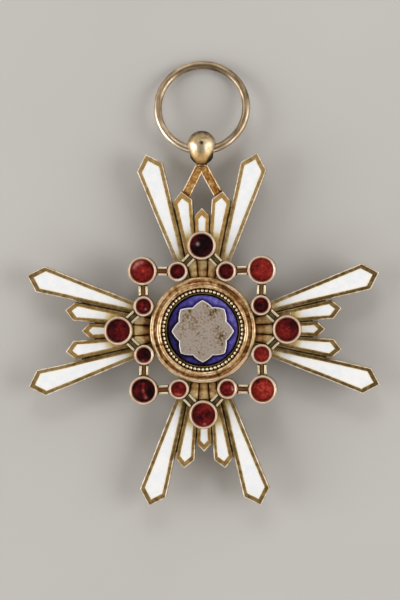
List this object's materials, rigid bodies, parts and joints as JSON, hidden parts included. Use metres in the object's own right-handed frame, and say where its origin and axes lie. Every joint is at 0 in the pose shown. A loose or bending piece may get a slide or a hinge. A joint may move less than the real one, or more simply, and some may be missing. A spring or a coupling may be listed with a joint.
{
  "type": "order insignia",
  "caption": "Gilt breast badge: a cross of white-enamelled rays with a frame of red stones, a round blue medallion with a silver mirror plate, and a swinging ribbon ring on a V-shaped hanger.",
  "frame": {"origin": "centre of the back cap's flat underside, on the surface that the badge lies on", "axes": "+Z out of the badge's face, +Y from the centre towards the ring, +X to the right seen from the front"},
  "size_m": [0.046, 0.0582, 0.0057],
  "materials": {
    "struck_gilt": "worn gilding on struck silver, bright at the edges",
    "cap_gilt": "satin gilding",
    "frame_gilt": "polished pale gilding",
    "bezel_gilt": "turned and gilt, brown in the groove",
    "bead_gilt": "polished beads on a dark ground",
    "white_enamel": "glossy vitreous enamel, cream at the roots",
    "blue_enamel": "glossy violet-blue enamel",
    "tarnished_silver": "dull silver with tarnish spots and a bright edge",
    "hanger_gilt": "worn gilding, polished on the ball",
    "ring_metal": "pale worn gilding over silver",
    "red_glass": "foiled red glass, low-domed"
  },
  "bodies": {
    "badge": {"cross": "struck_gilt", "back_cap": "cap_gilt", "jewel_frame": "frame_gilt", "medallion_bezel": "bezel_gilt", "bead_ring": "bead_gilt", "blue_field": "blue_enamel", "mirror_plate": "tarnished_silver", "hanger": "hanger_gilt", "enamel_top_1": "white_enamel", "enamel_top_2": "white_enamel", "enamel_top_3": "white_enamel", "enamel_top_4": "white_enamel", "enamel_top_5": "white_enamel", "enamel_right_1": "white_enamel", "enamel_right_2": "white_enamel", "enamel_right_3": "white_enamel", "enamel_right_4": "white_enamel", "enamel_right_5": "white_enamel", "enamel_bottom_1": "white_enamel", "enamel_bottom_2": "white_enamel", "enamel_bottom_3": "white_enamel", "enamel_bottom_4": "white_enamel", "enamel_bottom_5": "white_enamel", "enamel_left_1": "white_enamel", "enamel_left_2": "white_enamel", "enamel_left_3": "white_enamel", "enamel_left_4": "white_enamel", "enamel_left_5": "white_enamel", "large_stone_1": "red_glass", "large_stone_2": "red_glass", "large_stone_3": "red_glass", "large_stone_4": "red_glass", "large_stone_5": "red_glass", "large_stone_6": "red_glass", "large_stone_7": "red_glass", "large_stone_8": "red_glass", "small_stone_1": "red_glass", "small_stone_2": "red_glass", "small_stone_3": "red_glass", "small_stone_4": "red_glass", "small_stone_5": "red_glass", "small_stone_6": "red_glass", "small_stone_7": "red_glass", "small_stone_8": "red_glass"},
    "ring": {"suspension_ring": "ring_metal"}
  },
  "joints": [
    {"name": "ring_swing", "type": "hinge", "parent": "badge", "child": "ring", "pos_m": [0, 0.0234, 0.0033], "axis": [1, 0, 0], "range_deg": [-128, 165]}
  ]
}
